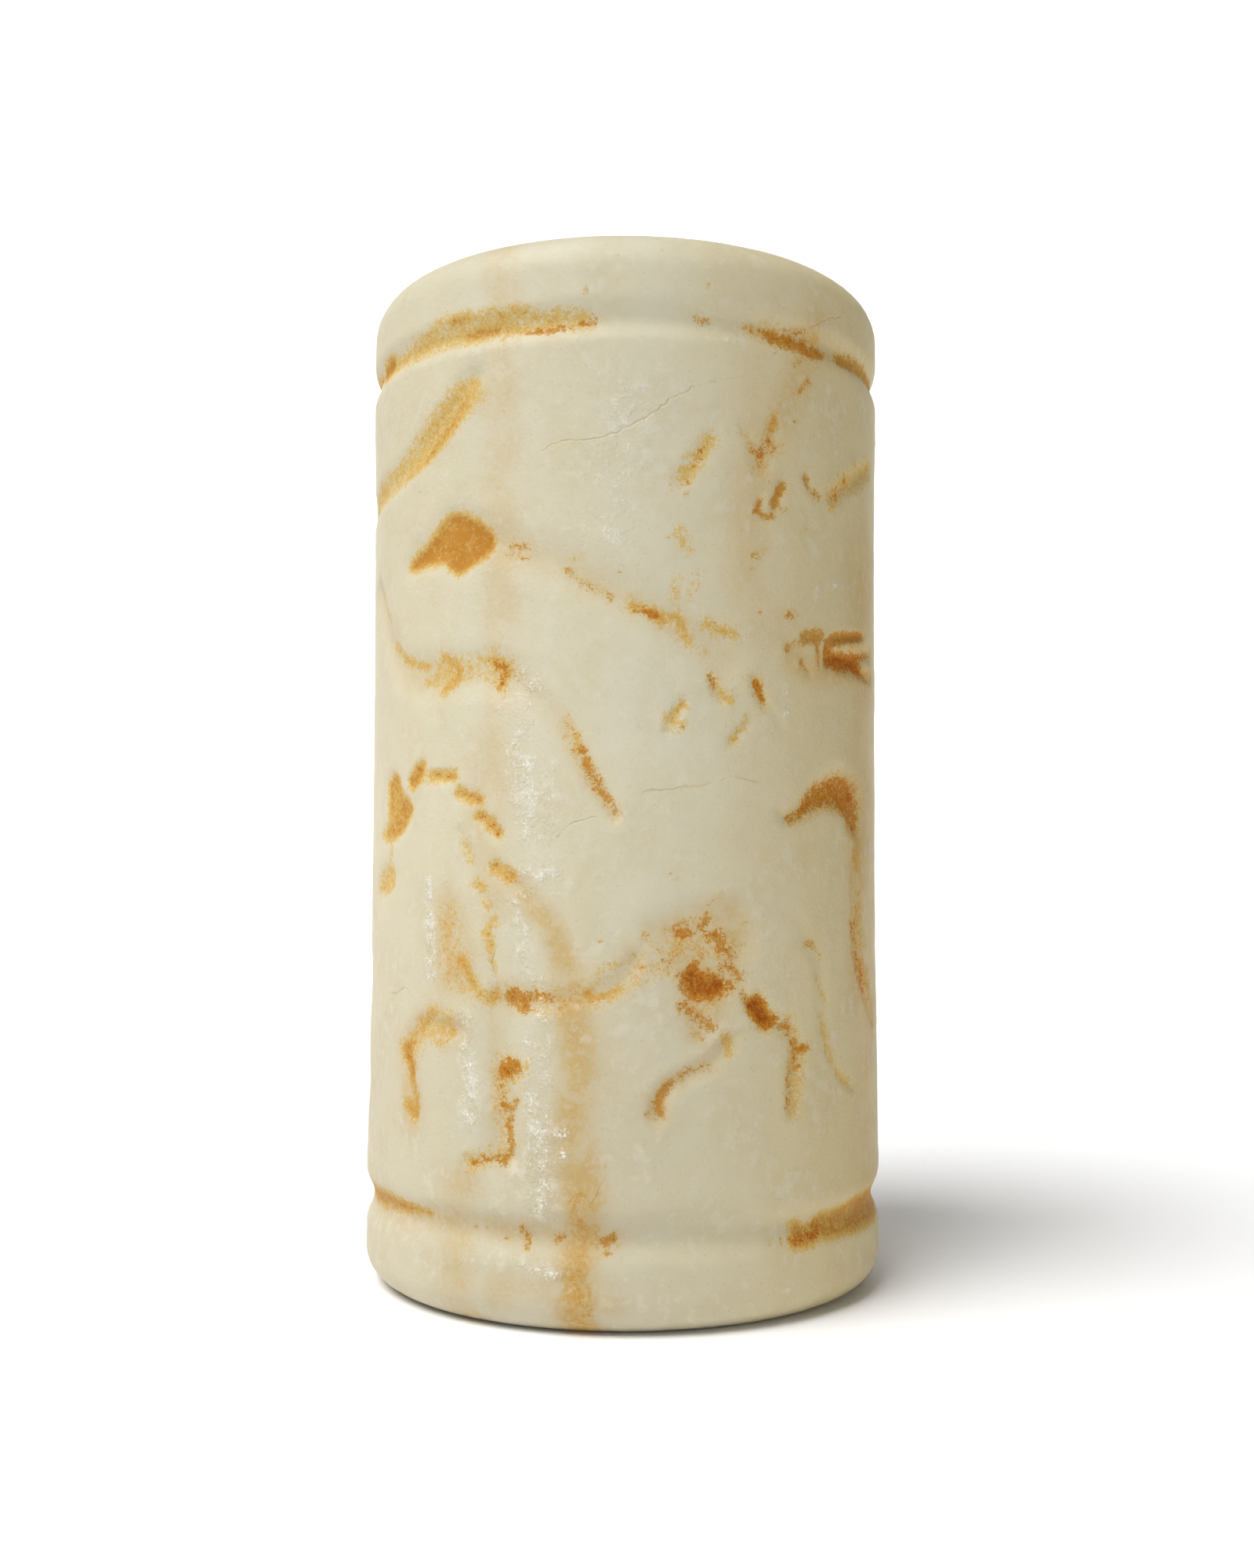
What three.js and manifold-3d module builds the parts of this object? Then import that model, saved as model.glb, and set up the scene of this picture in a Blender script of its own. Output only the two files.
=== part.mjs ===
import * as THREE from 'three';
import * as BufferGeometryUtils from 'three/addons/utils/BufferGeometryUtils.js';
import Module from 'manifold-3d';

// A cylinder seal of cream calcite, standing on its base. Millimetres, +Z up, origin at the centre of the base.
// The scene is cut into the side of the stone, and the front half's middle faces -Y.

// The stone
const HEIGHT = 43.3;
const DIAMETER = 22.8; // across the collars and the lips of the grooves
const WAIST_WEAR = 0.1; // how far handling has worn the carved field in, at mid-height
const TOP_ROUNDING = 1.8;
const BASE_ROUNDING = 1.5;

// The bore that the seal is strung on, and how far the cord has worn its two mouths open
const BORE_DIAMETER = 6.4;
const MOUTH_WEAR = 0.5;

// The two border grooves, each measured from its own end of the stone to its deepest line
const TOP_GROOVE_DOWN = 3.85;
const TOP_GROOVE_WIDTH = 1.5;
const TOP_GROOVE_DEPTH = 0.3;
const BASE_GROOVE_UP = 3.75;
const BASE_GROOVE_WIDTH = 1.9;
const BASE_GROOVE_DEPTH = 0.38;

// The cuts that each of the engraver's tools leaves
const FINE_WIDTH = 0.65;
const FINE_DEPTH = 0.18;
const MEDIUM_WIDTH = 1.05;
const MEDIUM_DEPTH = 0.28;
const BROAD_WIDTH = 1.9;
const BROAD_DEPTH = 0.24;
const DRILL_WIDTH = 1.3;
const DRILL_DEPTH = 0.42;
const TUFT_WIDTH = 0.85;
const TUFT_DEPTH = 0.26;
const HEAD_WIDTH = 2;
const HEAD_DEPTH = 0.42;

// How finely the round of the stone and the cuts are faceted
const STONE_SIDES = 56;
const FINE_SIDES = 6;
const BLADE_SIDES = 8;
const CUT_STEP = 2;

// The part of a blade that stays out of the stone: its flare, and the space from its edge up to its lid
const BLADE_FLARE = 1.15;
const BLADE_CLEARANCE = 0.08;
const BLADE_LID = 0.4;
const VALLEY_SOFTNESS = 1.6;

const radius = DIAMETER / 2;
const fieldRadius = radius - WAIST_WEAR;
const fieldBottom = BASE_GROOVE_UP + BASE_GROOVE_WIDTH / 2;
const fieldTop = HEIGHT - TOP_GROOVE_DOWN - TOP_GROOVE_WIDTH / 2;

// The figures are drawn in hundredths of the carved field's height, so they grow and shrink with it
const hundredth = (fieldTop - fieldBottom) / 100;
const quarterTurn = Math.PI / 2;

const wasm = await Module();
wasm.setup();

// A closed solid from a geometry: shared corners are merged, and triangles that then have no area go
function solidFrom(geometry) {
  geometry.deleteAttribute('normal');
  geometry.deleteAttribute('uv');
  const merged = BufferGeometryUtils.mergeVertices(geometry);
  const triangles = [];
  for (let i = 0; i < merged.index.count; i += 3) {
    const [a, b, c] = [0, 1, 2].map((corner) => merged.index.getX(i + corner));
    if (a !== b && b !== c && c !== a) triangles.push(a, b, c);
  }
  return new wasm.Manifold(new wasm.Mesh({
    numProp: 3,
    vertProperties: merged.attributes.position.array,
    triVerts: new Uint32Array(triangles),
  }));
}

// A rounded groove in the side, from its lower lip to its upper one: a valley that is deepest in the middle
function grooveProfile(middle, width, depth) {
  const steps = 4;
  return Array.from({ length: steps + 1 }, (unused, i) => {
    const across = (2 * i) / steps - 1;
    const sink = depth * Math.cos(across * quarterTurn) ** 2;
    return new THREE.Vector2(radius - sink, middle + (across * width) / 2);
  });
}

// The side between the two lips, worn in a little by handling
function fieldProfile() {
  const steps = 4;
  return Array.from({ length: steps - 1 }, (unused, i) => {
    const share = (i + 1) / steps;
    const wear = WAIST_WEAR * Math.sin(share * Math.PI) ** 0.5;
    return new THREE.Vector2(radius - wear, THREE.MathUtils.lerp(fieldBottom, fieldTop, share));
  });
}

// A rounded outer edge, as a quarter circle from one angle to the next
function roundedEdge(height, rounding, from) {
  const steps = 4;
  return Array.from({ length: steps + 1 }, (unused, i) => {
    const angle = from + (quarterTurn * i) / steps;
    return new THREE.Vector2(
      radius - rounding + rounding * Math.cos(angle),
      height + rounding * Math.sin(angle),
    );
  });
}

// The bare stone, turned round its axis: bore, base, collar, groove, field, groove, collar and top
function stone() {
  const bore = BORE_DIAMETER / 2;
  const start = new THREE.Vector2(bore + MOUTH_WEAR, 0);
  const profile = [
    start,
    ...roundedEdge(BASE_ROUNDING, BASE_ROUNDING, -quarterTurn),
    ...grooveProfile(BASE_GROOVE_UP, BASE_GROOVE_WIDTH, BASE_GROOVE_DEPTH),
    ...fieldProfile(),
    ...grooveProfile(HEIGHT - TOP_GROOVE_DOWN, TOP_GROOVE_WIDTH, TOP_GROOVE_DEPTH),
    ...roundedEdge(HEIGHT - TOP_ROUNDING, TOP_ROUNDING, 0),
    new THREE.Vector2(bore + MOUTH_WEAR, HEIGHT),
    new THREE.Vector2(bore, HEIGHT - MOUTH_WEAR),
    new THREE.Vector2(bore, MOUTH_WEAR),
    start,
  ];
  const turned = new THREE.LatheGeometry(profile, STONE_SIDES);
  turned.rotateX(quarterTurn);
  return solidFrom(turned);
}

// The blade that makes one cut: a round-ended bar laid along the path and wrapped round the stone, with its
// keel at the cut's depth and its lid out of the stone
function blade({ path, width, depth, sides = BLADE_SIDES }) {
  const run = new THREE.SplineCurve(path.map(([across, up]) => (
    new THREE.Vector2(across * hundredth, up * hundredth + fieldBottom)
  )));
  const length = run.getLength();
  const half = (width / 2) * BLADE_FLARE;
  const steps = Math.max(1, Math.round(length / CUT_STEP));
  const bar = new THREE.CapsuleGeometry(half, length, 1, sides, steps);
  const corners = bar.attributes.position;
  const spot = new THREE.Vector2();
  const heading = new THREE.Vector2();
  for (let i = 0; i < corners.count; i += 1) {
    const along = corners.getY(i) + length / 2;
    const share = THREE.MathUtils.clamp(along / length, 0, 1);
    const overrun = along - share * length;
    const side = corners.getX(i) / half;
    const sink = corners.getZ(i) / half;
    const reach = Math.sign(side) * Math.abs(side) ** VALLEY_SOFTNESS * half;
    run.getPointAt(share, spot);
    run.getTangentAt(share, heading);
    const around = (spot.x + heading.x * overrun - heading.y * reach) / fieldRadius;
    const up = spot.y + heading.y * overrun + heading.x * reach;
    const out = fieldRadius + BLADE_CLEARANCE
      - (sink > 0 ? sink * (depth + BLADE_CLEARANCE) : sink * BLADE_LID);
    corners.setXYZ(i, out * Math.sin(around), -out * Math.cos(around), up);
  }
  return solidFrom(bar);
}

// One stroke of each tool along a path of points, in hundredths of the field's height
const fine = (...path) => ({ path, width: FINE_WIDTH, depth: FINE_DEPTH, sides: FINE_SIDES });
const medium = (...path) => ({ path, width: MEDIUM_WIDTH, depth: MEDIUM_DEPTH });
const broad = (...path) => ({ path, width: BROAD_WIDTH, depth: BROAD_DEPTH });
const drill = (...path) => ({ path, width: DRILL_WIDTH, depth: DRILL_DEPTH });
const tuft = (...path) => ({ path, width: TUFT_WIDTH, depth: TUFT_DEPTH, sides: FINE_SIDES });
const head = (...path) => ({ path, width: HEAD_WIDTH, depth: HEAD_DEPTH });

// Locks of a mane: short strokes on an arc round a middle point, each one set along the arc
function mane([across, up], reach, first, turn, count, length) {
  return Array.from({ length: count }, (unused, i) => {
    const angle = THREE.MathUtils.degToRad(first + turn * i);
    const middle = [across + reach * Math.cos(angle), up + reach * Math.sin(angle)];
    const half = [(Math.sin(angle) * length) / 2, (-Math.cos(angle) * length) / 2];
    return tuft(
      [middle[0] - half[0], middle[1] - half[1]],
      [middle[0] + half[0], middle[1] + half[1]],
    );
  });
}

// The maned beast of the lower row, walking to the left on the base line
function lion() {
  return [
    medium([-31.8, 45], [-31.5, 41]),
    broad([-31.8, 41], [-33.2, 36]),
    medium([-33.5, 36], [-35, 29.5]),
    ...mane([-25, 31.2], 14, 91, -20, 5, 2),
    broad([-10.5, 32.5], [-7, 28.5], [-4.7, 22.5], [-4, 17.5]),
    fine([-17.5, 38.5], [-13.8, 29], [-12.4, 21], [-11.5, 14.5]),
    broad([-19, 27], [-18, 23], [-15.5, 19.5]),
    drill([-9.5, 19.4], [-7, 19.2]),
    fine([-4.5, 18.5], [2, 20], [5.3, 24]),
    fine([6.5, 25.5], [8.8, 21], [9.4, 18]),
    fine([5, 27], [11.5, 30], [18, 29.8], [23.5, 27.5]),
    medium([15.5, 27], [12.6, 23.5]),
    drill([11.6, 20.8], [13, 19.6]),
    drill([17.2, 19.2], [20.5, 16.4]),
    medium([22, 15], [24.2, 12], [23.3, 7], [24, 5]),
    medium([9.7, 18], [13, 15.6]),
    medium([15, 14], [11.8, 11.8], [8.5, 9.8], [6.8, 6]),
    fine([26.2, 25.8], [28.6, 22], [29.8, 15.8], [34.5, 8]),
    medium([-19, 17], [-24, 16.4], [-27.3, 12.4], [-25.2, 4.5]),
    medium([-11.6, 16], [-11, 9], [-10.3, 1.5]),
    drill([-11.6, 11.2], [-10.6, 11.2]),
    fine([-10.6, 0.7], [-15.6, 0]),
  ];
}

// The creature of the upper row: a long-snouted head with a crest, and a body that slopes down to its paws
function prowler() {
  return [
    medium([-18.8, 96.5], [-26.5, 90.5], [-38.5, 87], [-48.5, 85.6]),
    head([-23.6, 77.6], [-20.2, 78.6]),
    medium([-24, 76.8], [-30.2, 75.2]),
    broad([-17, 76.8], [-7.4, 73.2], [3, 68], [9.5, 63.5]),
    broad([-40.5, 71.5], [-32.5, 65.5], [-24, 62.6], [-15, 61.8]),
    medium([-15, 61.5], [-7.8, 56.6], [-3.2, 49.5], [-1.2, 45]),
    fine([9.8, 61.2], [10.8, 59]),
    fine([15.6, 61], [16.8, 58.4]),
    fine([4.8, 54.8], [6.4, 57.4]),
    fine([12.6, 53.6], [14.3, 55.6]),
  ];
}

// The open hand at the right: a palm, two fingers and a wrist
function hand() {
  return [
    fine([28, 67.6], [36, 68.4]),
    medium([27.2, 64.6], [38, 65.2]),
    fine([23.4, 67.6], [26.2, 67.6]),
    fine([20.5, 65.4], [23.8, 63.2]),
  ];
}

// The crook below it, with a long thin stem that drifts off to the right
function crook() {
  return [
    medium([20, 44.8], [25.4, 48.4], [31, 49.2], [34, 46.4]),
    fine([33.8, 43.6], [33.2, 33.5], [35.8, 24.4], [40, 20]),
  ];
}

// The small bird among the marks at the upper right, with its wing, tail and foot
function bird() {
  return [
    medium([14.4, 90], [17.2, 85.8]),
    medium([19, 88.2], [17, 86.4]),
    fine([19.6, 84.4], [18.4, 81.4]),
    fine([16, 82.2], [16.2, 80.2], [18, 79.8]),
    medium([9, 88.2], [7.2, 84]),
    fine([23.9, 85.4], [24.8, 83.4]),
    medium([28.8, 84], [38.4, 88.8]),
  ];
}

// The hock and heel of the animal that walks ahead of the lion
function hindLeg() {
  return [
    broad([-46, 27], [-47, 22.5]),
    broad([-45.5, 15], [-47, 10.5]),
  ];
}

// The bull of the hidden side: body, neck, horned head, tail and four legs
function bull() {
  const leg = (hip, knee) => [
    medium([hip, 16], [knee, 9]),
    fine([knee, 9], [hip, 1.5], [hip - 2.4, 0.4]),
  ];
  return [
    ...leg(-13, -12),
    ...leg(-8, -7),
    ...leg(9, 7.5),
    ...leg(15, 13.5),
    broad([-13, 20.5], [-2, 19.6], [13, 20.5]),
    broad([-14, 22], [-19, 27]),
    medium([-21, 27.5], [-25.5, 23.5]),
    fine([-21.5, 30], [-25, 33.5], [-24.5, 37.5]),
    fine([-20, 30.5], [-19.5, 34], [-16.5, 36.5]),
    fine([16.5, 21.5], [20.5, 17], [20, 8]),
  ];
}

// A plant with paired leaves, set between the animals
function plant() {
  const pairs = [8, 15, 22, 29];
  return [
    fine([0, 1], [0.6, 18], [0, 36]),
    ...pairs.flatMap((up) => [
      fine([1.4, up], [5.4, up + 4.5]),
      fine([-1.4, up], [-5.4, up + 4.5]),
    ]),
  ];
}

// Strokes moved to their place on the stone; a negative way turns a figure to face the other side
function place(strokes, across, up, way = 1) {
  return strokes.map((stroke) => ({
    ...stroke,
    path: stroke.path.map(([x, y]) => [x * way + across, y + up]),
  }));
}

// Where the figures stand: the base line of the lower row is a little above the groove, and the hidden half's
// figures are spread over the stretch that the front leaves free
const groundLine = 5;
const upperLine = 52;
const halfWay = (Math.PI * fieldRadius) / hundredth;
const strokes = [
  ...place(lion(), -3, groundLine),
  ...prowler(),
  ...hand(),
  ...crook(),
  ...bird(),
  ...hindLeg(),
  ...place(bull(), halfWay, groundLine),
  ...place(bull(), halfWay + 3, upperLine, -1),
  ...place(plant(), halfWay - 38, groundLine),
  ...place(plant(), halfWay + 38, groundLine + 12),
];

const blades = strokes.map(blade);
const carved = stone().subtract(wasm.Manifold.union(blades)).getMesh();

const geometry = new THREE.BufferGeometry();
geometry.setAttribute('position', new THREE.BufferAttribute(carved.vertProperties, 3));
geometry.setIndex(new THREE.BufferAttribute(carved.triVerts, 1));
geometry.computeVertexNormals();

const seal = new THREE.Mesh(geometry, new THREE.MeshStandardMaterial({
  color: new THREE.Color(0.8, 0.74, 0.6),
  roughness: 0.42,
  metalness: 0,
}));
seal.name = 'seal';

const object = new THREE.Group();
object.add(seal);

export default object;
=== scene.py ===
import math
import bmesh
import bpy
import numpy as np
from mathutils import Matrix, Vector, noise


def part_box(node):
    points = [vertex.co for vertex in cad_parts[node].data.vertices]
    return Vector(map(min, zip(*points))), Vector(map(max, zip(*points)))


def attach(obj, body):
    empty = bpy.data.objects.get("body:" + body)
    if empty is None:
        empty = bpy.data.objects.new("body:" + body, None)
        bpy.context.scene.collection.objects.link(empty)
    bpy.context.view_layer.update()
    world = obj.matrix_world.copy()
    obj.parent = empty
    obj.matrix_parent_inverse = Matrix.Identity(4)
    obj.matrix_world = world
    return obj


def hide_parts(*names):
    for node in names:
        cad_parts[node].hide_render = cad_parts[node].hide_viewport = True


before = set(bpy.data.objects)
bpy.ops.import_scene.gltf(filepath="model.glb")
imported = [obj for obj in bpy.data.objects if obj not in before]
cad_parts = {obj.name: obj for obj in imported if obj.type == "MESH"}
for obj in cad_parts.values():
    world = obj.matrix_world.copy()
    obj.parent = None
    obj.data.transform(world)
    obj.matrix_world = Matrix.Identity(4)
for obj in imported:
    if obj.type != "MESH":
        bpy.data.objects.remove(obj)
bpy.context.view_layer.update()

# The seal: one piece of cream calcite, turned and drilled through, with a scene cut into its side by hand.
# Long handling has worn the cuts to soft valleys, and iron stain has settled in the deeper ones.
# All sizes are millimetres on a stone of the drawn height, and the mesh is brought to the frame's size last.
DRAWN_HEIGHT = 43.3
low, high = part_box("seal")
mm = (high.z - low.z) / DRAWN_HEIGHT
radius = high.x / mm
height = DRAWN_HEIGHT

BORE_RADIUS = 3.2
MOUTH_WEAR = 0.5
BASE_ROUNDING = 1.5
TOP_ROUNDING = 1.8
TURN_STEPS = 68
TURN_CUTS = 4
SIDE_RINGS = 232
BORE_RINGS = 14
FRONT_CROWDING = 0.45  # how much closer together the mesh's columns stand in front than on average


# The outline from the base's mouth round the outside and back through the bore, drawn as one closed line
def straight_to(corner, across, up, steps):
    start = corner.co.copy()
    for step in range(steps):
        corner = bmesh.ops.extrude_vert_indiv(outline, verts=[corner])["verts"][0]
        corner.co = start.lerp(Vector((across, 0, up)), (step + 1) / steps)
    return corner


def round_edge(corner, across, up, angle, steps):
    turned = bmesh.ops.spin(
        outline, geom=[corner], cent=(across, 0, up), axis=(0, 1, 0), dvec=(0, 0, 0),
        angle=angle, steps=steps,
    )
    return [part for part in turned["geom_last"] if isinstance(part, bmesh.types.BMVert)][0]


quarter = math.radians(90)
mouth_radius = BORE_RADIUS + MOUTH_WEAR
outline = bmesh.new()
corner = outline.verts.new((mouth_radius, 0, 0))
corner = straight_to(corner, radius - BASE_ROUNDING, 0, 8)
corner = round_edge(corner, radius - BASE_ROUNDING, BASE_ROUNDING, -quarter, 9)
corner = straight_to(corner, radius, height - TOP_ROUNDING, SIDE_RINGS)
corner = round_edge(corner, radius - TOP_ROUNDING, height - TOP_ROUNDING, -quarter, 10)
corner = straight_to(corner, mouth_radius, height, 8)
corner = round_edge(corner, mouth_radius, height - MOUTH_WEAR, -quarter, 4)
corner = straight_to(corner, BORE_RADIUS, MOUTH_WEAR, BORE_RINGS)
corner = round_edge(corner, mouth_radius, MOUTH_WEAR, -quarter, 4)
bmesh.ops.remove_doubles(outline, verts=outline.verts[:], dist=1e-4)
bmesh.ops.spin(
    outline, geom=outline.verts[:] + outline.edges[:], cent=(0, 0, 0), axis=(0, 0, 1), dvec=(0, 0, 0),
    angle=math.radians(360), steps=TURN_STEPS, use_merge=True,
)
bmesh.ops.remove_doubles(outline, verts=outline.verts[:], dist=1e-4)
rings = [
    edge for edge in outline.edges
    if abs(edge.verts[0].co.z - edge.verts[1].co.z) < 1e-5
    and abs(edge.verts[0].co.xy.length - edge.verts[1].co.xy.length) < 1e-5
]
bmesh.ops.subdivide_edges(outline, edges=rings, cuts=TURN_CUTS, use_grid_fill=True)
bmesh.ops.recalc_face_normals(outline, faces=outline.faces[:])
for face in outline.faces:
    face.smooth = True

stone_mesh = bpy.data.meshes.new("engraved_seal")
outline.to_mesh(stone_mesh)
outline.free()

# Every point of the stone, and its place on the unrolled side: across from the front's middle line, and up
points = np.empty(len(stone_mesh.vertices) * 3)
stone_mesh.vertices.foreach_get("co", points)
points = points.reshape(-1, 3)
turn = np.arctan2(points[:, 0], -points[:, 1])
turn_step = 2 * math.pi / TURN_STEPS
from_chord = (turn + math.pi) % turn_step - turn_step / 2
out = np.hypot(points[:, 0], points[:, 1]) * np.cos(from_chord) / math.cos(turn_step / 2)
turn = turn - FRONT_CROWDING * np.sin(turn)
up = points[:, 2].copy()
FIELD_RADIUS = 11.3
across = turn * FIELD_RADIUS
girth = 2 * math.pi * FIELD_RADIUS
on_side = out > radius - 0.99 * TOP_ROUNDING


def ease(low_end, high_end, value):
    share = np.clip((value - low_end) / (high_end - low_end), 0, 1)
    return share * share * (3 - 2 * share)


# A smooth line through listed points
def line_through(places):
    places = np.array(places, dtype=float)
    padded = np.vstack([2 * places[0] - places[1], places, 2 * places[-1] - places[-2]])
    share = np.linspace(0, 1, 9)[:-1, None]
    runs = []
    for a, b, c, d in zip(padded, padded[1:], padded[2:], padded[3:]):
        bend = (c - a) * share + (2 * a - 5 * b + 4 * c - d) * share**2 + (3 * b - a - 3 * c + d) * share**3
        runs.append(b + bend / 2)
    return np.vstack([*runs, places[-1:]])


# For the points of the side within reach of a line: which they are, how far off they are, with a sign for the
# side of the line that they are on, and how far along they are, from 0 to 1
def near_line(places, reach):
    line = line_through(places)
    middle = (line[:, 0].min() + line[:, 0].max()) / 2
    unrolled = (across - middle + girth / 2) % girth - girth / 2 + middle
    inside = on_side & (unrolled > line[:, 0].min() - reach) & (unrolled < line[:, 0].max() + reach)
    inside &= (up > line[:, 1].min() - reach) & (up < line[:, 1].max() + reach)
    chosen = np.flatnonzero(inside)
    spot = np.stack([unrolled[chosen], up[chosen]], axis=1)[:, None, :]
    start = line[None, :-1]
    step = (line[1:] - line[:-1])[None]
    share = np.clip(((spot - start) * step).sum(2) / (step**2).sum(2), 0, 1)
    offset = spot - start - share[..., None] * step
    distance = np.hypot(offset[..., 0], offset[..., 1])
    nearest = distance.argmin(1)
    row = np.arange(len(chosen))
    away = distance[row, nearest]
    off = offset[row, nearest]
    way = step[0, nearest]
    side = np.sign(way[:, 0] * off[:, 1] - way[:, 1] * off[:, 0])
    along = (nearest + share[row, nearest]) / (len(line) - 1)
    return chosen, away * np.where(side == 0, 1, side), along


# The cross-section of a worn cut or the fade of a stain: full in the middle, nothing at half its width.
# A flat share of the middle can stay full, and the two ends can be narrower than the middle.
def stroke(places, width, flat=0.0, ends=(1, 1), lean=0.0):
    chosen, off, along = near_line(places, width)
    narrow = np.interp(along, [0, 0.5, 1], [ends[0], 1, ends[1]])
    half = width / 2 * narrow * (1 + lean * np.sign(off))
    fade = np.clip((1 - np.abs(off) / half) / (1 - flat), 0, 1)
    return chosen, fade * fade * (3 - 2 * fade)


# The inside of a closed outline, fading over a soft edge
def patch(places, soft):
    ring = line_through([*places, places[0]])
    chosen, off, along = near_line([*places, places[0]], soft)
    spot_across = (across[chosen] - ring[:, 0].mean() + girth / 2) % girth - girth / 2 + ring[:, 0].mean()
    spot_up = up[chosen]
    crossings = np.zeros(len(chosen), dtype=int)
    for (x0, y0), (x1, y1) in zip(ring, ring[1:]):
        if y0 != y1:
            between = (spot_up > min(y0, y1)) & (spot_up <= max(y0, y1))
            crossings += between & (spot_across < x0 + (spot_up - y0) * (x1 - x0) / (y1 - y0))
    inside = np.where(crossings % 2 == 1, np.abs(off), -np.abs(off))
    return chosen, ease(-soft / 2, soft / 2, inside)


# Each layer of the side: how deep it is cut, and how strongly it is stained or tinted
depth = np.zeros(len(points))
ochre = np.zeros(len(points))
rust = np.zeros(len(points))
vein = np.zeros(len(points))
sheen_and_flecks = np.zeros(len(points))


# Cuts that cross run together softly, as worn ones do, and wear has left only part of their depth
WEAR = 0.55


def cut(shape, deep):
    chosen, fade = shape
    depth[chosen] = (depth[chosen]**4 + (WEAR * deep * fade)**4)**0.25


def tint(layer, shape, strength):
    chosen, fade = shape
    layer[chosen] = np.maximum(layer[chosen], strength * fade)


# Rust lies thick along a line, thinner beside it, with loose crumbs further out
def crumbs(places, width, strength, **shape):
    tint(rust, stroke(places, width + 0.4, **shape), strength)
    tint(rust, stroke(places, width + 2.2), 0.45 * strength)


# A lighter and yellower mark, with a soft glow round it
def powder_mark(places, width, strength):
    tint(ochre, stroke(places, width + 0.5), 0.9 * strength)
    tint(ochre, stroke(places, width + 1.6), 0.3 * strength)
    tint(rust, stroke(places, width + 0.5), 0.45 * strength)


def rusty_patch(places, strength):
    tint(rust, patch(places, 0.9), strength)
    tint(rust, patch(places, 2.4), 0.55 * strength)


def dots(layer, width, strength, *places):
    for across_dot, up_dot in places:
        tint(layer, stroke([(across_dot - 0.05, up_dot), (across_dot + 0.05, up_dot)], width), strength)


# The creature of the upper row: a crest, a long-snouted head, a neck and a body that slopes down to its paws
crest = [(-6.4, 37.6), (-7.4, 36.6), (-8.8, 35.5), (-10.4, 34.7), (-12.6, 34.2), (-16.5, 33.8)]
cut(stroke(crest, 2.2, ends=(0.8, 0.9)), 0.36)
tint(ochre, stroke([(-6.7, 37), *crest[1:]], 2.4, flat=0.2, ends=(1.1, 0.7)), 0.6)
tint(ochre, stroke([(-6.9, 36.8), (-7.4, 36.1), (-8.4, 35.3), (-9.2, 34.7)], 1.7, ends=(1, 0.7)), 0.86)
tint(ochre, stroke([(-9.2, 34.7), (-10.4, 34.3)], 1), 0.85)
head = [
    (-8.6, 31.7), (-7.9, 32.2), (-7.1, 32.2), (-6.3, 31.9), (-5.7, 31.4), (-5.4, 30.9), (-5.8, 30.3),
    (-6.5, 30), (-7.2, 29.7), (-7.7, 29.9), (-8, 30.2), (-9, 30.2), (-10.3, 30.2), (-10.4, 30.6),
    (-9.4, 31.1), (-8.9, 31.4),
]
cut(patch(head, 1.3), 0.5)
tint(ochre, patch(head, 0.6), 1.2)
tint(ochre, stroke([(-7.6, 31.5), (-6.9, 31.2)], 1.3), 1.5)
tint(ochre, stroke([(-8.4, 30.8), (-7.4, 30.8)], 1.1), 1.35)

neck = [(-6, 31), (-4.6, 30.6), (-2.5, 29.7), (-0.5, 28.7), (1, 27.9), (2.6, 27), (4, 26.1)]
cut(stroke(neck, 3.4, ends=(0.6, 0.8)), 0.3)
tint(vein, stroke(neck, 2.4, ends=(0.8, 0.9)), 0.35)
crumbs([(-4.7, 30.7), (-4, 30.5)], 0.5, 0.6)
crumbs([(-4.8, 30.2), (-3.9, 30.1)], 0.4, 0.56)
crumbs([(-2, 30), (-1.6, 30)], 0.35, 0.5)
crumbs([(-2.3, 29.5), (-1.7, 29.1), (-1.2, 28.8), (-0.6, 28.5)], 0.8, 0.52)
powder_mark([(0.3, 28.1), (0.9, 27.9), (1.5, 27.6)], 0.5, 0.8)
crumbs([(0.5, 28), (1.3, 27.7)], 0.4, 0.72)
powder_mark([(1.7, 27.7), (2.1, 27.7), (2.3, 27.3)], 0.3, 0.66)
powder_mark([(2.3, 27.1), (2.6, 26.8)], 0.4, 0.6)
powder_mark([(2.6, 26.5), (3.2, 26.3)], 0.4, 0.4)
powder_mark([(3.3, 27.5), (3.8, 27.3), (4.5, 27.1)], 0.4, 0.72)
powder_mark([(2, 28.5), (2.1, 29.2)], 0.5, 0.5)
powder_mark([(2.6, 28.7), (3, 29.3)], 0.7, 0.42)
powder_mark([(2.2, 31), (2.5, 30.4)], 0.8, 0.46)
dots(rust, 0.45, 0.62, (-0.2, 29.4), (1.65, 30.8), (5.6, 28.1))

# The far side of its body, curving down to a thin tail
flank = [
    (-14, 29.8), (-12.9, 28.3), (-11.6, 26.8), (-10.4, 26), (-9, 25.7), (-7.4, 25.7), (-5.8, 25.7),
    (-4.6, 25.3),
]
tail = [(-4.8, 25.6), (-3.8, 24.9), (-2.9, 24), (-2.1, 22.9), (-1.5, 21.9), (-1, 21), (-0.4, 19.9)]
cut(stroke(flank, 3, flat=0.1, ends=(0.6, 0.9)), 0.36)
cut(stroke(tail, 1.6, ends=(1.2, 0.6)), 0.27)
tint(vein, stroke(flank, 2, ends=(0.6, 0.9)), 0.45)
tint(vein, stroke(tail, 1.6, ends=(1.2, 0.7)), 0.5)
tint(ochre, stroke([(-2.4, 23.6), (-1.8, 22.4), (-1.2, 21.4), (-0.5, 20.3)], 1.2), 0.26)
powder_mark([(-1.9, 23), (-1.7, 22.5)], 0.3, 0.7)
tint(ochre, stroke([(-13.2, 29), (-12.4, 28.5)], 0.8), 0.6)
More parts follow.
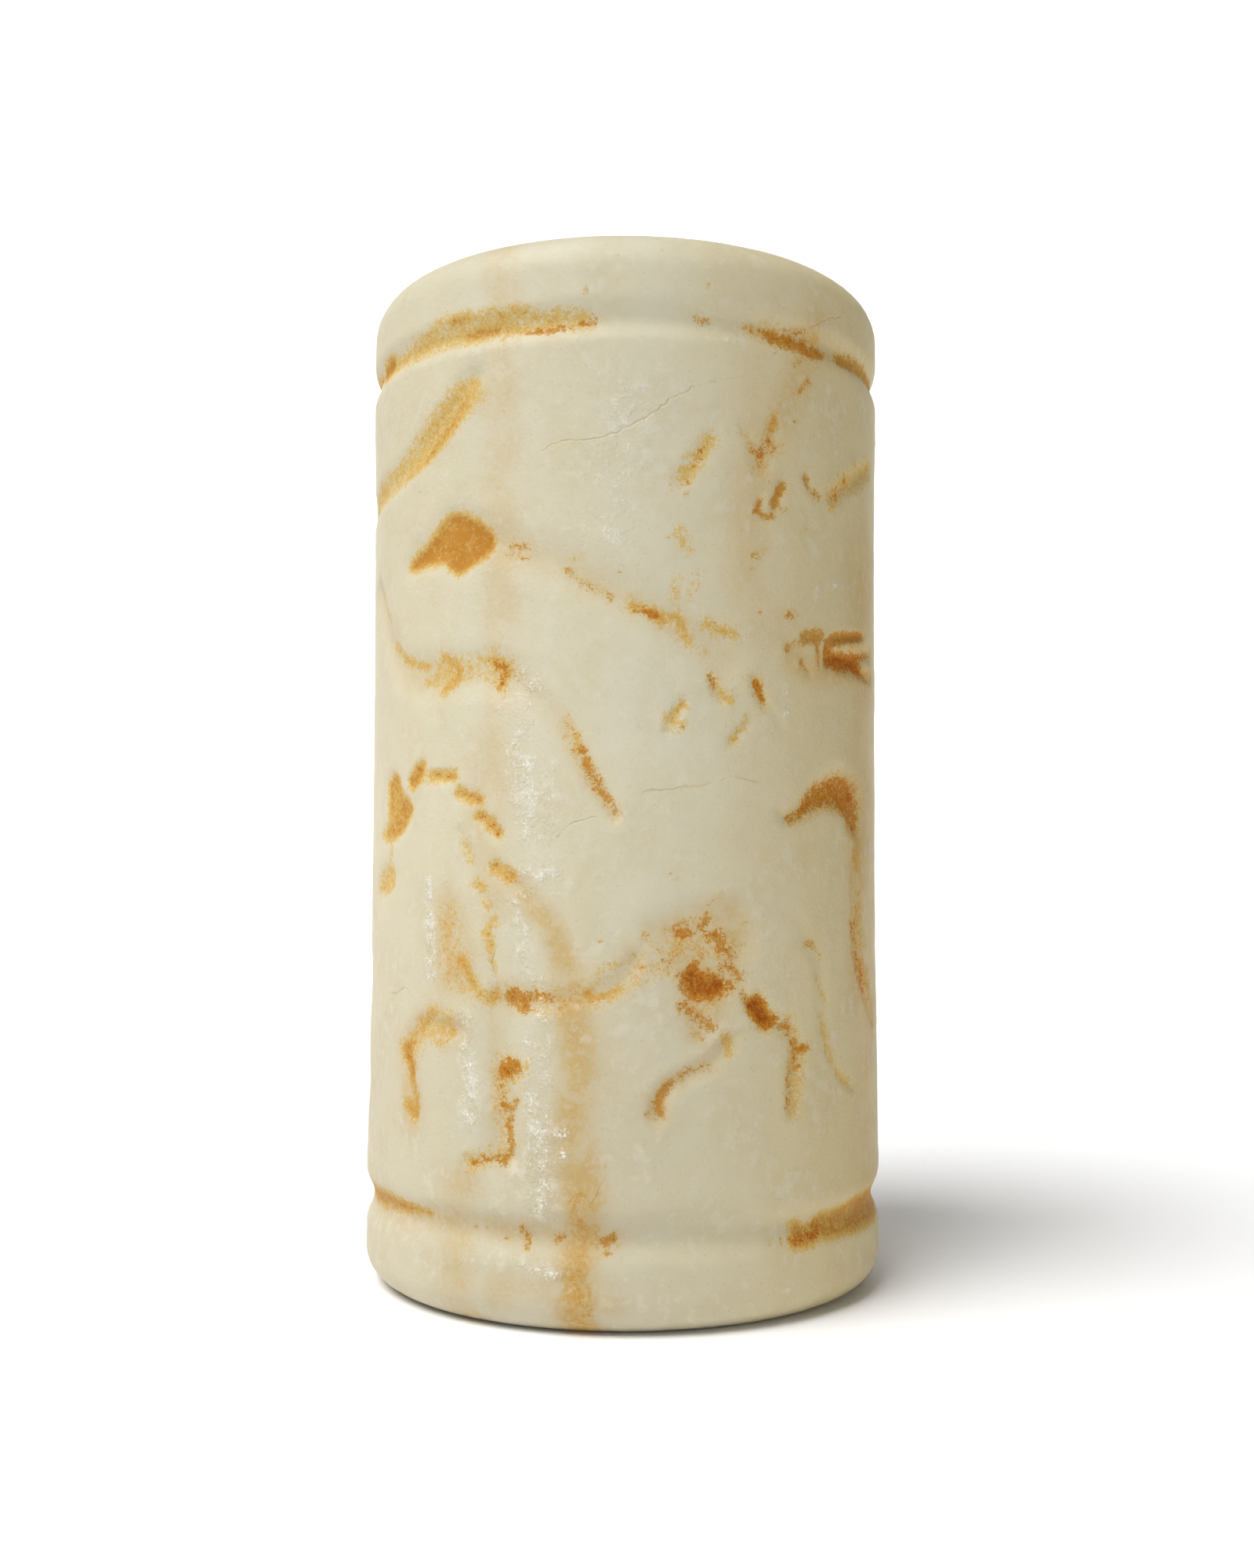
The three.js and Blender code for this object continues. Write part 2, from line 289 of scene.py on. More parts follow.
tint(ochre, stroke([(-11.8, 27.2), (-11, 26.7), (-10, 26.3), (-9, 26.1)], 1, ends=(1, 0.6)), 0.62)
tint(ochre, stroke([(-9.3, 25.5), (-8.4, 25.4)], 0.7), 0.42)
powder_mark([(-8.1, 26.4), (-7.6, 26.2), (-7.2, 25.8), (-7.5, 25.4), (-8, 25.1)], 0.5, 0.8)
powder_mark([(-6.2, 26.3), (-5.5, 26)], 0.7, 0.5)
powder_mark([(-5.5, 26.1), (-4.9, 25.7), (-5.1, 25.1)], 0.6, 0.95)
crumbs([(-5.4, 26), (-4.9, 25.7), (-5.1, 25.2)], 0.5, 0.7)
tint(ochre, stroke([(-8.2, 25.9), (-6.4, 25.9), (-4.8, 25.6)], 2.2), 0.42)
crumbs([(-2.2, 23.7), (-2, 23.1)], 0.8, 0.48)
crumbs([(-1.7, 22.6), (-1.5, 22.1)], 0.75, 0.7)
crumbs([(-1.5, 22.1), (-1.2, 21.4), (-0.8, 20.8), (-0.4, 20.1)], 0.9, 0.66)

# Its paws, four short pointed cuts
cut(stroke([(3.4, 25.5), (3.7, 25), (3.9, 24.6)], 0.9, ends=(0.5, 1)), 0.2)
cut(stroke([(5.3, 25.4), (5.6, 24.9), (5.9, 24.4)], 0.9, ends=(0.5, 1)), 0.2)
cut(stroke([(1.7, 23.4), (2, 23.9), (2.3, 24.4)], 0.8), 0.15)
cut(stroke([(4.3, 22.9), (4.7, 23.3), (5.1, 23.7)], 0.8), 0.15)
cut(stroke([(6.2, 24.1), (6.7, 23.5)], 0.7), 0.12)
powder_mark([(3.6, 25.2), (3.8, 24.8), (4.3, 24.5)], 0.3, 0.7)
crumbs([(3.4, 25.5), (3.6, 25)], 0.3, 0.8, ends=(0.6, 1))
powder_mark([(5.4, 25.3), (5.6, 24.9), (5.8, 24.5)], 0.2, 0.7)
crumbs([(5.4, 25.3), (5.6, 24.9), (5.75, 24.6)], 0.36, 0.85, ends=(0.9, 0.8))
powder_mark([(1.9, 23.5), (2, 23.9), (2.3, 24.3)], 0.3, 0.76)
powder_mark([(1.8, 23.8), (2.3, 23.5)], 0.2, 0.7)
powder_mark([(4.4, 23), (4.8, 23.4), (5, 23.7)], 0.3, 0.66)
dots(rust, 0.5, 0.6, (1.6, 23.3), (2.3, 23.4), (6.4, 23.65))

# The open hand at the right: fingers held apart, with a smaller one and the wrist beside them
palm = [
    (9.2, 26.8), (9.5, 27.1), (10.2, 26.95), (11, 27), (12, 27.1), (13.7, 27.2), (12.9, 26.8),
    (12.9, 26.5), (13.8, 26.1), (13, 26), (11.8, 26.1), (10.4, 26.1), (9.3, 26.2),
]
finger = [(9.5, 27.1), (10.2, 27.45), (11.2, 27.6), (12.5, 27.8)]
cut(patch(palm, 0.8), 0.5)
cut(stroke(finger, 0.9, ends=(0.9, 0.7)), 0.28)
cut(stroke([(7.9, 27.3), (8.9, 27.3)], 0.9), 0.2)
cut(stroke([(8.7, 27.2), (8.8, 26.2)], 0.6), 0.14)
cut(stroke([(7, 26.9), (7.8, 26.5), (8.2, 25.9)], 0.9), 0.14)
rusty_patch(palm, 0.9)
tint(rust, stroke(finger, 1.15, flat=0.2, ends=(1, 0.7)), 0.92)
tint(rust, stroke([(10, 26.6), (12.4, 26.5)], 1.2), 1.1)
crumbs([(8, 27.3), (8.9, 27.4)], 0.8, 0.74, flat=0.2)
crumbs([(8.7, 27.2), (8.8, 26.3)], 0.5, 0.68)
crumbs([(7, 26.7), (7.4, 27), (7.8, 26.9)], 0.6, 0.62)
crumbs([(7.7, 26.2), (8.1, 25.9)], 0.6, 0.62)
crumbs([(7, 28.1), (7.3, 28.1)], 0.6, 0.66)
tint(ochre, patch(palm, 1.2), 0.7)
# The warm band along the hand's lower edge is painted shadow under it
tint(vein, stroke([(7.4, 26.2), (9.5, 26), (12, 26), (14, 26)], 2.6), 0.9)

# The crook below it, with a long thin stem that drifts off to the right
crook = [
    (6.6, 20.1), (7.2, 20.2), (7.8, 20.7), (8.4, 21.3), (9.2, 21.7), (10.1, 21.9), (11, 21.8),
    (11.9, 21.4), (12.5, 20.7), (12.5, 20), (12.2, 19.2), (11.6, 19.3), (11, 19.9), (10.3, 20.3),
    (9.5, 20.4), (8.8, 20.2), (8.2, 20), (7.5, 19.7), (7, 19.7),
]
stem = [(12, 20.2), (11.5, 18), (11.4, 16), (11.7, 14.3), (12.5, 12.8), (14, 11.4)]
cut(patch(crook, 1.2), 0.5)
cut(stroke(stem, 1, ends=(1, 0.8)), 0.2)
tint(rust, patch(crook, 0.9), 0.76)
tint(ochre, patch(crook, 1.2), 0.5)
tint(ochre, stroke([(7.2, 19.9), (8.6, 20.5), (10.4, 20.4), (11.2, 19.6)], 1.4), 0.5)
tint(vein, stroke([(11.8, 21), (12, 18), (11.9, 15), (12.4, 13), (14, 11.4)], 3.6), 1.3)
tint(ochre, stroke([(11.8, 19.4), (11.6, 17)], 1.6), 0.3)
tint(ochre, stroke([(12.1, 16.6), (12.2, 14.4), (13, 12.8)], 2.6), 0.45)
tint(rust, stroke([(11.4, 15.6), (11.6, 14.6), (12, 13.6), (12.6, 12.8)], 1.6), 0.56)

# The small bird among the marks at the upper right, with a wing, a tail and a foot
bird = [
    (4.8, 35.3), (5.1, 35.2), (5.4, 34.8), (5.9, 35.3), (6.3, 35.6), (6.3, 35.1), (6.8, 34.9),
    (6.4, 34.6), (6.1, 34.3), (5.9, 33.8), (5.4, 33.8), (5.2, 34.3),
]
cut(patch(bird, 0.8), 0.24)
cut(stroke([(6.7, 33.4), (6.5, 32.9), (6.3, 32.4)], 0.8), 0.18)
cut(stroke([(5.6, 32.6), (5.45, 32.1), (6, 31.9)], 0.6), 0.12)
cut(stroke([(2.3, 33.2), (2.8, 33.9), (3.4, 34.8)], 1.4), 0.14)
cut(stroke([(8, 33.8), (8.6, 33.2)], 0.8), 0.16)
cut(stroke([(9.8, 33.3), (11.4, 34.2), (13.3, 35.2)], 1.3), 0.24)
rusty_patch(bird, 0.62)
tint(ochre, patch(bird, 1.6), 0.5)
powder_mark([(6.3, 36), (6.1, 35.5)], 0.3, 0.8)
crumbs([(6.7, 33.3), (6.5, 32.9), (6.3, 32.5)], 0.62, 0.84)
crumbs([(5.6, 32.5), (5.45, 32.1), (5.9, 31.9), (6.2, 32)], 0.42, 0.74)
crumbs([(6.3, 32.2), (6.9, 32.3)], 0.5, 0.5)
crumbs([(8, 33.8), (8.2, 33.4), (8.7, 33.2)], 0.62, 0.7)
powder_mark([(2.4, 33.3), (2.8, 33.9), (3.3, 34.7)], 1, 0.7)
crumbs([(2.7, 33.7), (3.1, 34.4)], 0.5, 0.5)
crumbs([(1.9, 32.8), (2.5, 33)], 0.35, 0.5)
crumbs([(7.6, 37.3), (8, 37.7)], 0.55, 0.68)
crumbs([(7.3, 38.3), (7.7, 38.6)], 0.5, 0.5)
tint(ochre, stroke([(9.8, 33.2), (10.6, 33.9), (13.4, 35.2)], 2.4), 0.52)
tint(rust, stroke([(9.9, 33.4), (10.8, 34.1)], 1.6), 0.52)
crumbs([(5.3, 30.3), (5.9, 30.6)], 0.7, 0.5)
dots(rust, 0.45, 0.62, (2.4, 32.5), (7.2, 37.1), (7.3, 36), (8, 31.7), (5.2, 29.8), (6.5, 36.4), (3.3, 40.9))

# The maned beast of the lower row, walking to the left: its face and muzzle
face = [
    (-12.4, 21.5), (-11.8, 21.9), (-11.2, 21.7), (-10.9, 21.1), (-10.3, 20.7), (-10, 20.3),
    (-10.4, 19.7), (-11, 19.2), (-11.8, 19), (-12.6, 19), (-13.1, 19.3), (-12.5, 19.8), (-12.5, 20.6),
]
muzzle = [
    (-13.6, 17.5), (-12.7, 18), (-11.9, 18.1), (-11.4, 17.6), (-11.7, 17), (-12.6, 16.7), (-13.6, 16.8),
]
cut(patch(face, 0.8), 0.34)
cut(patch(muzzle, 0.7), 0.28)
cut(stroke([(-12, 19.1), (-11.9, 18)], 0.8), 0.2)
tint(ochre, patch(face, 0.6), 1)
tint(ochre, patch(muzzle, 0.7), 0.66)
tint(ochre, stroke([(-11.7, 21.6), (-11.7, 20.4), (-11.5, 19.8)], 1), 1.1)
tint(ochre, stroke([(-10.8, 20.4), (-10.3, 20.3)], 0.7), 1)
tint(ochre, stroke([(-12.8, 19.2), (-11.8, 19.2)], 0.6), 1)
tint(ochre, stroke([(-12, 19), (-11.9, 18)], 0.7), 0.5)

# Its mane, short locks round the cheek
locks = (
    [(-10.1, 21.4), (-9.3, 22.1)],
    [(-8.7, 21.6), (-7.4, 21.6)],
    [(-7.1, 20.9), (-6.1, 20.6)],
    [(-6, 20), (-5.1, 19.3)],
    [(-5.3, 18), (-4.6, 17.6)],
)
for lock in locks:
    cut(stroke(lock, 0.95), 0.24)
    tint(ochre, stroke(lock, 1.1), 0.84)
    tint(rust, stroke(lock, 0.9), 0.42)
tint(ochre, stroke([(-9.9, 21.5), (-9.5, 21.8)], 1.3, flat=0.2), 1.05)

# Its throat, the hollow of its chest, the edge of its neck and its belly
throat = [(-7.1, 19.3), (-6.4, 18.3), (-5.9, 17), (-5.4, 16), (-5.3, 14.6), (-5.2, 13.2), (-4.9, 11.4)]
chest = [
    (-8.3, 16.4), (-7.6, 16.8), (-6.9, 16.2), (-6.4, 14.8), (-5.9, 13.6), (-6.4, 12.8), (-7.6, 12.9),
    (-8.3, 14.2),
]
nape = [(-4.3, 17.3), (-3.5, 16.4), (-2.9, 15.6), (-2.5, 14.6), (-2.1, 13.7), (-1.7, 13)]
belly = [(-4.9, 13), (-3.6, 12.8), (-2.4, 12.8), (-1.2, 13), (-0.2, 13.5), (0.5, 14.5)]
cut(stroke(throat, 0.9), 0.15)
cut(patch(chest, 1.6), 0.18)
cut(stroke(nape, 1.5, ends=(0.7, 0.9), lean=0.2), 0.2)
cut(stroke(belly, 1.5, ends=(1.2, 0.8)), 0.2)
tint(ochre, stroke([(-6.8, 13.4), (-5.4, 13), (-3.4, 12.8), (-1, 13.1), (0.8, 14), (2, 14.2)], 2.4), 0.26)
tint(vein, stroke(belly, 2.4), 0.8)
tint(vein, stroke(nape, 2.2, ends=(0.9, 1.1)), 1.3)
tint(vein, patch(chest, 2), 1)
tint(ochre, patch(chest, 2), 0.24)
powder_mark([(-6.9, 14.3), (-6.5, 13.7), (-6.3, 13.3)], 0.6, 0.72)
tint(ochre, stroke([(-7.8, 15.6), (-7.6, 13.8)], 1.2), 0.34)
powder_mark([(-6.1, 13.1), (-5.6, 12.8), (-5.2, 12.9)], 0.7, 0.72)
powder_mark([(-6.8, 18.9), (-6.4, 18.2)], 0.4, 0.42)
powder_mark([(-6.1, 17.3), (-5.8, 17.1)], 0.4, 0.68)
powder_mark([(-5.8, 16.7), (-5.6, 16.4)], 0.3, 0.42)
powder_mark([(-5.3, 15.9), (-5.6, 15.3), (-5.4, 14.7)], 0.35, 0.66)
powder_mark([(-5.4, 14.4), (-5.2, 13.8)], 0.3, 0.5)
crumbs([(-4.6, 12.9), (-4.2, 12.7), (-3.7, 12.9)], 0.9, 0.86)
tint(rust, stroke([(-4.4, 13), (-4, 12.6)], 1.4), 0.9)
crumbs([(-3.2, 13), (-2.8, 12.8)], 0.5, 0.66)
powder_mark([(-1.4, 13.1), (-0.8, 13), (-0.1, 13.3)], 0.4, 0.72)
powder_mark([(-0.9, 14), (-0.4, 14.2)], 0.2, 0.6)
crumbs([(0.7, 15.4), (1.1, 15), (1.5, 14.6), (1.8, 14)], 0.4, 0.54)
dots(rust, 0.4, 0.62, (0, 13.7), (0.7, 14.1), (0.4, 14.6), (-0.9, 15.1), (1.8, 17.7), (2.1, 17.5))

# Its haunch, rump and tail
haunch = [
    (0.8, 15.6), (2, 16.3), (3.4, 16.7), (4.8, 16.4), (5.2, 15), (4.9, 13.6), (4.2, 12.6), (3.5, 11.6),
    (2.8, 11.2), (2.3, 12), (2.1, 13.2), (1.6, 14.4),
]
rump_stain = [
    (2.2, 13.9), (2.8, 14.3), (3.2, 13.9), (4, 13.7), (4.1, 13.1), (3.6, 12.8), (2.8, 12.8),
    (2.3, 13.1),
]
brush = [(7.9, 15.1), (8.7, 14.2), (8.9, 12.9), (9, 11.8), (9.4, 10.5), (10.3, 9.4), (11.2, 8.9)]
cut(patch(haunch, 1.4), 0.2)
cut(patch(rump_stain, 0.7), 0.34)
cut(stroke([(4.6, 16.7), (6.2, 16.5), (7.6, 15.8), (8.6, 14.8)], 1, ends=(0.6, 1)), 0.12)
cut(stroke(brush, 1.2, ends=(1.1, 0.7)), 0.16)
tint(vein, patch(haunch, 1), 0.8)
tint(ochre, stroke([(2.2, 15), (3.2, 15.2), (4, 14.6), (3.4, 13.6), (2.8, 12.8)], 2.4), 0.42)
rusty_patch(rump_stain, 1.1)
tint(ochre, patch(rump_stain, 0.9), 0.6)
crumbs([(2, 15.4), (2.7, 15.4)], 0.6, 0.74)
crumbs([(1.6, 15.6), (2.9, 15.9)], 0.6, 0.48)
crumbs([(3.1, 15.6), (3.3, 16)], 0.6, 0.78)
crumbs([(3.5, 15.3), (3.8, 15.2), (4, 14.8)], 0.65, 0.86)
crumbs([(3.9, 14.9), (4.3, 14.6)], 0.8, 0.7)
crumbs([(4, 14.1), (4.6, 13.8), (4.4, 13.3)], 0.9, 0.6)
crumbs([(3.2, 16.4), (3.9, 16.9)], 0.5, 0.42)
crumbs([(2.3, 12.6), (2.8, 12.2), (3.5, 11.8)], 0.72, 0.68)
crumbs([(2.7, 11.5), (3.1, 11.3)], 0.4, 0.56)
crumbs([(8, 14.9), (8.4, 14.9)], 0.5, 0.62)
crumbs([(8.5, 14.8), (8.9, 14.3)], 0.5, 0.46)
tint(ochre, stroke([(8.6, 13.6), (9.1, 12.7)], 0.9), 0.42)
tint(ochre, stroke([(8.9, 12), (9.2, 11), (9.6, 10.2), (10.3, 9.4), (10.9, 9.1)], 0.9), 0.5)
dots(rust, 0.45, 0.66, (3.1, 14.5), (4.9, 14.9), (4.9, 15.8))

# Its hind legs
thigh = [
    (4.8, 13.1), (5.1, 12.8), (5.5, 13), (5.8, 12.6), (6.1, 12.2), (6.5, 12), (6.3, 11.8), (5.9, 11.6),
    (5.6, 11.7), (5.3, 12.1), (5, 12.5),
]
shank = [(7, 11.8), (7.4, 10.8), (7.3, 9.8), (7.2, 8.4)]
stride = [(4.2, 11.2), (3.4, 10.4), (2.6, 10), (1.8, 9.6), (1.4, 9), (1.3, 8.4)]
cut(patch(thigh, 0.8), 0.4)
cut(stroke([(6.3, 11.8), (7.2, 11.2)], 1), 0.26)
cut(stroke(shank, 1.2), 0.24)
cut(stroke(stride, 1.2), 0.22)
tint(vein, stroke(stride, 1.5), 0.6)
tint(ochre, stroke(shank, 1.7), 0.5)
rusty_patch(thigh, 1.3)
tint(ochre, patch(thigh, 0.9), 1)
crumbs([(6.6, 11.7), (6.9, 11.6)], 0.6, 0.72)
crumbs([(7.1, 11.9), (7.1, 11.3)], 0.4, 0.58)
crumbs([(7.3, 11), (7.6, 10.8), (7.9, 10.8)], 0.7, 0.78)
crumbs([(7.4, 10.5), (7.6, 10.1)], 0.65, 0.58)
crumbs([(7, 10.1), (6.95, 9.4), (6.9, 8.6)], 0.5, 0.62)
crumbs([(3.3, 10.3), (2.7, 10.2), (2.2, 9.9)], 0.7, 0.58)
crumbs([(1.8, 9.7), (1.5, 9.3), (1.35, 8.9), (1.5, 8.6)], 0.56, 0.8)
crumbs([(1.3, 8.9), (0.9, 8.5)], 0.4, 0.52)
tint(ochre, stroke([(4.1, 11.4), (4.2, 10.8)], 0.9), 0.52)

# Its forelegs: the raised one soft, the near one a channel with a steep edge on the right
raised_leg = [(-7, 11.5), (-7.9, 11.5), (-8.8, 11.6), (-9.7, 11), (-10.2, 10.3), (-9.9, 9.2), (-9.6, 7.9)]
cut(stroke(raised_leg, 1.5, flat=0.1, ends=(0.8, 0.8)), 0.28)
powder_mark([(-7.3, 11.4), (-7.7, 11), (-8.4, 11)], 0.5, 0.62)
powder_mark([(-8.3, 12.1), (-8.8, 11.7), (-9.4, 11.3), (-10.2, 10.6)], 0.8, 0.66)
tint(ochre, stroke([(-7.6, 11.7), (-8.6, 11.4), (-9.4, 10.9)], 2.2), 0.5)
tint(ochre, stroke([(-10.3, 10.5), (-9.8, 9.8)], 1.4, flat=0.1), 1.1)
tint(ochre, stroke([(-10, 9.6), (-9.6, 9)], 1), 0.8)
tint(vein, stroke(raised_leg, 2.8), 0.85)
tint(ochre, stroke([(-10.1, 8.3), (-9.5, 7.9), (-9.4, 8.6)], 1), 0.72)
cut(stroke([(-4.9, 12.4), (-4.8, 10.4), (-4.7, 8.6), (-4.7, 6.8)], 2.4, flat=0.2, lean=-0.25), 0.45)
cut(stroke([(-4.7, 6.6), (-5.4, 6.5), (-6.4, 6.4)], 0.9), 0.2)
tint(vein, stroke([(-5.3, 12.5), (-5.2, 9), (-5.2, 7)], 1.4), 0.5)
knee = [(-5.2, 10.2), (-4.8, 10.5), (-4.1, 10.5), (-4, 10.1), (-4.3, 9.8), (-4.7, 9.7), (-5.1, 9.8)]
rusty_patch(knee, 1)
tint(ochre, patch(knee, 2.2), 0.7)
crumbs([(-5.1, 9.5), (-4.9, 9.1)], 0.5, 0.5)
crumbs([(-4.9, 8.7), (-4.5, 8.6), (-4.3, 8.9)], 0.6, 0.72)
crumbs([(-4.6, 8.2), (-4.6, 7.6), (-4.5, 7), (-4.8, 6.6)], 0.5, 0.76)
crumbs([(-4.8, 6.5), (-5.4, 6.6), (-6.1, 6.4)], 0.55, 0.68)
tint(ochre, stroke([(-4.9, 6.8), (-6.3, 6.4)], 1.5), 0.5)
tint(ochre, stroke([(-5, 10.4), (-4.9, 8.4), (-4.8, 7)], 1.6), 0.34)

# The hock and heel of the animal that walks ahead of it, at the left edge
cut(stroke([(-15.7, 13.8), (-16, 12.4)], 2.2), 0.28)
cut(stroke([(-15.5, 9.6), (-16, 8.4)], 2.2), 0.26)


# The hidden half is plainer: two horned animals, one above the other, and two plants
FINE = (1, 0.32)
MEDIUM = (1.5, 0.44)
BROAD = (2.6, 0.5)


def horned_animal(place, ground, way):
    def draw(tool, *places):
        line = [(place + way * x, ground + y) for x, y in places]
        cut(stroke(line, tool[0]), tool[1])
        tint(ochre, stroke(line, tool[0]), 0.4)
        tint(vein, stroke(line, tool[0] + 0.6), 0.4)

    for hip, foot in ((-4.4, -4.1), (-2.7, -2.4), (3.1, 2.6), (5.1, 4.6)):
        draw(MEDIUM, (hip, 5.4), (foot, 3.1))
        draw(FINE, (foot, 3.1), (hip, 0.5), (hip - 0.8, 0.1))
    draw(BROAD, (-4.4, 7), (-0.7, 6.7), (4.4, 7))
    draw(BROAD, (-4.8, 7.5), (-6.5, 9.2))
    draw(MEDIUM, (-7.1, 9.4), (-8.7, 8))
    draw(FINE, (-7.3, 10.2), (-8.5, 11.4), (-8.3, 12.8))
    draw(FINE, (-6.8, 10.4), (-6.6, 11.6), (-5.6, 12.4))
    draw(FINE, (5.6, 7.3), (7, 5.8), (6.8, 2.7))


def plant(place, ground):
    stalk = stroke([(place, ground + 0.3), (place + 0.2, ground + 6.1), (place, ground + 12.2)], FINE[0])
    cut(stalk, FINE[1])
    tint(rust, stalk, 0.5)
    for leaf in (2.7, 5.1, 7.5, 9.9):
        for way in (-1, 1):
            root = (place + way * 0.4, ground + leaf)
            tip = (place + way * 1.8, ground + leaf + 1.5)
            blade = stroke([root, tip], FINE[0])
            cut(blade, FINE[1])
            tint(ochre, blade, 0.5)


GROUND_LINE = 6.4
UPPER_LINE = 22.4
horned_animal(girth / 2, GROUND_LINE, 1)
horned_animal(girth / 2 + 1, UPPER_LINE, -1)
plant(girth / 2 - 12.9, GROUND_LINE)
plant(girth / 2 + 12.9, GROUND_LINE + 4.1)

# The border grooves hold stain in stretches: a long one at the upper left, and crumbs at the right of both
upper_left = [
    (-14.4, 39.8), (-12.9, 39.6), (-12.2, 40.1), (-11.6, 39.7), (-10.4, 40), (-9.2, 40.2), (-7.8, 40.5),
    (-6.6, 40.3), (-5.4, 40.4), (-4.4, 40.4), (-3.4, 40.1), (-2.8, 39.7), (-2, 39.5), (-1.2, 39.3),
    (-1.2, 39.1), (-2, 39), (-5, 38.95), (-8, 39), (-10.6, 39), (-12, 38.9), (-13.4, 38.7),
]
lower_right = [
    (7, 3.1), (7.2, 3.5), (7.1, 3.9), (7.7, 4), (7.9, 3.7), (8.4, 3.9), (9, 4.1), (10, 4.15),
    (11.5, 4.3), (13, 4.4), (15.5, 4.2), (18.5, 3.9), (21.5, 3.7), (18.5, 3.5), (15.5, 3), (13, 2.9),
    (11.5, 2.9), (10, 2.95), (8.6, 3), (8, 2.85), (7.4, 2.9),
]
tint(ochre, patch(upper_left, 0.6), 0.52)
tint(ochre, stroke([(-13.6, 39.4), (-12.5, 39.5)], 1.5), 1.4)
tint(ochre, stroke([(-12.4, 39.3), (-10, 39.5), (-7.6, 39.5), (-4, 39.3)], 1.5, ends=(0.8, 0.8)), 0.7)
tint(ochre, stroke([(-7.6, 40.1), (-6.7, 40.1)], 1.1), 0.95)
tint(ochre, stroke([(-6.8, 39.4), (-5.4, 39.4)], 1.1), 1.1)
tint(ochre, stroke([(-5.1, 39.9), (-4.1, 39.9)], 1.1), 0.8)
tint(ochre, stroke([(-4.6, 39.7), (-3.2, 39.6), (-1.8, 39.5)], 1.5), 0.66)
crumbs([(-4, 39.1), (-3.2, 39.1), (-2.3, 39.2)], 0.25, 0.84)
crumbs([(-1.7, 39.3), (-1.2, 39.35)], 0.25, 0.72)
dots(rust, 0.45, 0.6, (-1.4, 39.2), (-1.6, 40.7), (-1.55, 40.4))
crumbs([(2.9, 39.6), (3.3, 39.5)], 0.7, 0.56)
crumbs([(5.1, 39.5), (6, 39.5)], 0.8, 0.5)
crumbs([(6.2, 39.2), (7, 39.25), (8, 39.1), (9, 39.1)], 1, 0.9)
tint(ochre, stroke([(5.4, 39.5), (7, 39.4), (8.6, 39.4)], 1.8), 0.45)
crumbs([(7.1, 39.7), (8, 39.8)], 0.7, 0.58)
crumbs([(9, 39.2), (10.4, 39.1)], 0.7, 0.5)
crumbs([(10.4, 39.2), (12.4, 39.4), (14.8, 39.3), (17, 39.4), (19.5, 39.5)], 1.4, 0.78, ends=(1, 0.2))
tint(ochre, stroke([(-14.4, 4), (-12, 4.1), (-10.6, 4.1), (-8.6, 4.1)], 1.2, ends=(1.3, 0.6)), 0.9)
tint(ochre, stroke([(-13.4, 3.8), (-12.6, 3.7)], 0.8), 0.7)
crumbs([(-4, 4), (-3.8, 3.6), (-3.8, 3.3)], 0.45, 0.7)
crumbs([(-2.6, 3.6), (-2.4, 3.8)], 0.6, 0.64)
crumbs([(-0.7, 3.6), (-0.4, 3.75)], 0.55, 0.78)
dots(rust, 0.5, 0.66, (-6.2, 3.85), (-5.6, 3.9), (-4.7, 3.6), (-0.6, 3.2), (6.7, 3.3), (6.1, 3.3))
tint(ochre, patch(lower_right, 0.6), 1.05)
crumbs([(7.3, 3.3), (8.6, 3.4)], 1, 0.62)
# Out of sight it tapers off along both grooves, and comes back once in each
for middle_up, places in (
    (39.5, (-21, -17.5, -13.8)),
    (39.4, (23, 27, 32)),
    (3.9, (-22, -17.5, -14)),
    (3.7, (26, 31, 38)),
):
    run = [(place, middle_up + 0.1 * math.sin(place)) for place in places]
    tint(ochre, stroke(run, 1.6, ends=(0.3, 0.6)), 0.7)
    tint(rust, stroke(run, 1.2, ends=(0.2, 0.4)), 0.45)

# Warm veins that rise through the stone: a strong one near the front's middle line, and fainter ones round it
tint(vein, stroke([(-2, 12.6), (-1.7, 10), (-1.9, 8), (-1.6, 5.4)], 3.4, ends=(0.7, 0.9)), 1.5)
tint(vein, stroke([(-2.1, 12.6), (-1.6, 10), (-2, 8), (-1.7, 5.4)], 5.4), 0.6)
tint(vein, stroke([(-1.5, 6), (-1.4, 4), (-1.7, 2.5), (-1.7, 0)], 2.8), 2.3)
tint(vein, stroke([(-1.7, 5), (-1.7, 0)], 5), 0.7)
tint(ochre, stroke([(-1.6, 5.2), (-1.5, 3.6), (-1.7, 2.4), (-1.7, 0)], 1.8), 0.36)
tint(vein, stroke([(-5, 1.6), (-3, 1.8), (-0.6, 1.4)], 2.6), 0.7)
tint(vein, stroke([(-15, 3.9), (-8, 3.9), (-0.4, 3.8)], 1.8), 0.8)
tint(vein, stroke([(-6.6, 5.4), (-6.8, 2.6), (-6.7, 0)], 3), 0.9)
tint(vein, stroke([(-5.2, 37), (-5.2, 32), (-5, 26), (-5.4, 20), (-5, 17)], 3.6), 0.58)
tint(vein, stroke([(-5.2, 42.8), (-5, 39.6), (-5, 36)], 3), 0.62)
tint(vein, stroke([(8.6, 40), (7, 37), (5.8, 33.6)], 3.4), 0.7)
# The broad one near the right edge is partly a tan of the stone and partly painted shade that darkens the
# bright right rim
tint(vein, stroke([(12.8, 31), (13, 24), (13, 18), (12.6, 10), (12.6, 5)], 6), 0.72)
tint(vein, stroke([(20.4, 43), (20, 33), (20.8, 20), (20.2, 9), (20.6, 0)], 3), 0.8)
tint(vein, stroke([(-22, 43), (-21.4, 30), (-22.2, 16), (-21.6, 0)], 4), 0.8)
tint(vein, stroke([(5.5, 37.8), (5.3, 33), (4.9, 29.5), (6.2, 27.6)], 3.2), 0.4)
